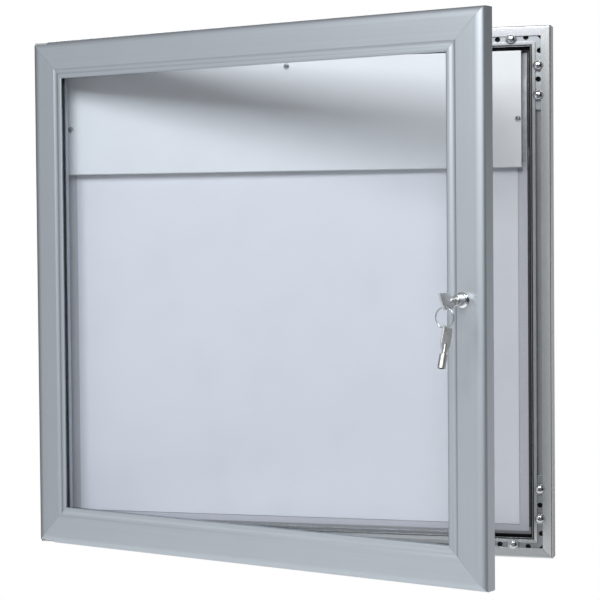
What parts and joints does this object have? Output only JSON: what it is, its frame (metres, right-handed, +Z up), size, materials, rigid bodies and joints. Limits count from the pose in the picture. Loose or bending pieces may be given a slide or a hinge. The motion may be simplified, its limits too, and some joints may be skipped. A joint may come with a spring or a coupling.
{
  "type": "lockable notice board",
  "caption": "Wall-mounted notice board: a shallow metal case with a white sheet and a header, and a glazed door that swings on pivots and locks with a key.",
  "frame": {"origin": "middle of the back, on the wall", "axes": "+X right seen from the front, +Y into the wall, +Z up"},
  "size_m": [0.7198, 0.3278, 0.7],
  "materials": {
    "anodised_aluminium": "satin silver anodised",
    "cast_alloy": "plain cast",
    "plated_steel": "zinc plated",
    "polished_chrome": "polished",
    "key_steel": "nickel plated",
    "clear_glass": "clear",
    "black_rubber": "matt",
    "white_sheet": "white, satin",
    "plain_sheet": "mill finish",
    "grey_board": "grey, matt",
    "white_fascia": "white, gloss",
    "zinc_sheet": "grey, matt"
  },
  "bodies": {
    "case": {"backing_board": "grey_board", "bracket_screw_bottom_left_1": "plated_steel", "bracket_screw_bottom_left_2": "plated_steel", "bracket_screw_bottom_left_3": "plated_steel", "bracket_screw_bottom_left_4": "plated_steel", "bracket_screw_bottom_right_1": "plated_steel", "bracket_screw_bottom_right_2": "plated_steel", "bracket_screw_bottom_right_3": "plated_steel", "bracket_screw_bottom_right_4": "plated_steel", "bracket_screw_top_left_1": "plated_steel", "bracket_screw_top_left_2": "plated_steel", "bracket_screw_top_left_3": "plated_steel", "bracket_screw_top_left_4": "plated_steel", "bracket_screw_top_right_1": "plated_steel", "bracket_screw_top_right_2": "plated_steel", "bracket_screw_top_right_3": "plated_steel", "bracket_screw_top_right_4": "plated_steel", "case_rail_bottom": "anodised_aluminium", "case_rail_left": "anodised_aluminium", "case_rail_right": "anodised_aluminium", "case_rail_top": "anodised_aluminium", "corner_bracket_bottom_left": "cast_alloy", "corner_bracket_bottom_right": "cast_alloy", "corner_bracket_top_left": "cast_alloy", "corner_bracket_top_right": "cast_alloy", "door_seal": "black_rubber", "header_fascia": "white_fascia", "header_screw_left": "plated_steel", "header_screw_right": "plated_steel", "header_screw_top": "plated_steel", "header_strut_left": "zinc_sheet", "header_strut_right": "zinc_sheet", "header_strut_top": "zinc_sheet", "hinge_pin_bottom": "plated_steel", "hinge_pin_top": "plated_steel", "hinge_plate_bottom": "plated_steel", "hinge_plate_top": "plated_steel", "hinge_screw_bottom": "plated_steel", "hinge_screw_top": "plated_steel", "magnetic_sheet": "white_sheet", "panel_gasket": "black_rubber", "rear_sheet": "plain_sheet"},
    "door": {"corner_cleat_bottom_left": "cast_alloy", "corner_cleat_bottom_right": "cast_alloy", "corner_cleat_top_left": "cast_alloy", "corner_cleat_top_right": "cast_alloy", "door_rail_bottom": "anodised_aluminium", "door_rail_left": "anodised_aluminium", "door_rail_right": "anodised_aluminium", "door_rail_top": "anodised_aluminium", "glass_pane": "clear_glass", "glazing_bead": "anodised_aluminium", "glazing_gasket": "black_rubber", "lock_body": "polished_chrome", "lock_clip": "plated_steel"},
    "lock_barrel": {"lock_plug": "polished_chrome", "lock_cam": "plated_steel"},
    "key_in_lock": {"key": "key_steel"},
    "ring": {"key_ring": "polished_chrome"},
    "hanging_key": {"spare_key": "key_steel"}
  },
  "joints": [
    {"name": "door_hinge", "type": "hinge", "parent": "case", "child": "door", "pos_m": [-0.353, -0.038, 0], "axis": [0, 0, -1], "range_deg": [-19, 96]},
    {"name": "lock_turn", "type": "hinge", "parent": "door", "child": "lock_barrel", "pos_m": [0.28225, -0.28635, 0], "axis": [-0.3256, -0.9455, 0], "range_deg": [-20, 70]},
    {"name": "key_slide", "type": "slide", "parent": "lock_barrel", "child": "key_in_lock", "axis": [-0.3256, -0.9455, 0], "range_m": [0, 0.025]},
    {"name": "ring_swing", "type": "hinge", "parent": "key_in_lock", "child": "ring", "pos_m": [0.27465, -0.31525, -0.00701], "axis": [0.9455, -0.3256, 0], "range_deg": [-25, 35]},
    {"name": "spare_key_swing", "type": "hinge", "parent": "ring", "child": "hanging_key", "pos_m": [0.27465, -0.31525, -0.03141], "axis": [0.9455, -0.3256, 0], "range_deg": [-30, 30]}
  ]
}
